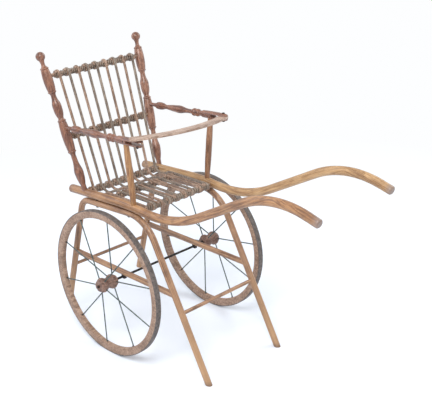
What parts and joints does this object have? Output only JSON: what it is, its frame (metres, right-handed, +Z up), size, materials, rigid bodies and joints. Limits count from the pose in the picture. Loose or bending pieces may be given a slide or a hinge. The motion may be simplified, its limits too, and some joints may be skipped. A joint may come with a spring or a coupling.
{
  "type": "child's push cart",
  "caption": "Child's push cart of bent and turned wood: caned seat with arms and a swinging guard bar, on spoked wheels and two front legs, with long curved handles.",
  "frame": {"origin": "on the floor, under the middle of the whole cart", "axes": "+X forward to the handles, +Y to the left, +Z up"},
  "size_m": [1.1647, 0.5622, 0.9769],
  "materials": {
    "bent_wood": "honey-coloured bent hardwood, worn varnish",
    "turned_wood": "turned hardwood, red-brown varnish",
    "hub_wood": "turned hardwood, weathered",
    "rim_wood": "bent hardwood, weathered",
    "guard_wood": "bent board, bleached",
    "cane": "rattan canes, dull grey-brown",
    "tyre_iron": "iron band, dark",
    "iron": "dark iron",
    "spoke_wire": "dark slate wire"
  },
  "bodies": {
    "cart": {"arm_left": "turned_wood", "arm_post_left": "turned_wood", "arm_post_right": "turned_wood", "arm_right": "turned_wood", "axle": "iron", "axle_clip_left": "iron", "axle_clip_right": "iron", "axle_nut_left": "iron", "axle_nut_right": "iron", "cane_1": "cane", "cane_2": "cane", "cane_3": "cane", "cane_4": "cane", "cane_5": "cane", "cane_6": "cane", "cane_7": "cane", "cane_8": "cane", "cane_9": "cane", "frame_bolts_left": "iron", "frame_bolts_right": "iron", "front_stretcher": "bent_wood", "guard_bar_pin": "iron", "leg_frame_left": "bent_wood", "leg_frame_right": "bent_wood", "lower_back_rail": "turned_wood", "middle_rail": "turned_wood", "rear_stretcher": "bent_wood", "seat_front_rail": "turned_wood", "seat_infill_canes": "cane", "seat_middle_rail": "turned_wood", "shaft_left": "bent_wood", "shaft_right": "bent_wood", "side_rail_left": "bent_wood", "side_rail_right": "bent_wood", "stile_left": "turned_wood", "stile_right": "turned_wood", "top_rail": "turned_wood"},
    "wheel_left": {"hub_left": "hub_wood", "rim_left": "rim_wood", "spokes_left": "spoke_wire", "tyre_left": "tyre_iron"},
    "wheel_right": {"hub_right": "hub_wood", "rim_right": "rim_wood", "spokes_right": "spoke_wire", "tyre_right": "tyre_iron"},
    "guard_bar": {"guard_bar": "guard_wood"}
  },
  "joints": [
    {"name": "wheel_left_spin", "type": "hinge", "parent": "cart", "child": "wheel_left", "pos_m": [-0.24395, 0.2413, 0.254], "axis": [0, 1, 0], "continuous": true},
    {"name": "wheel_right_spin", "type": "hinge", "parent": "cart", "child": "wheel_right", "pos_m": [-0.24395, -0.2413, 0.254], "axis": [0, 1, 0], "continuous": true},
    {"name": "guard_bar_swing", "type": "hinge", "parent": "cart", "child": "guard_bar", "pos_m": [-0.11595, 0.18877, 0.75728], "axis": [-0.0697, 0.0471, 0.9965], "range_deg": [0, 120]}
  ]
}
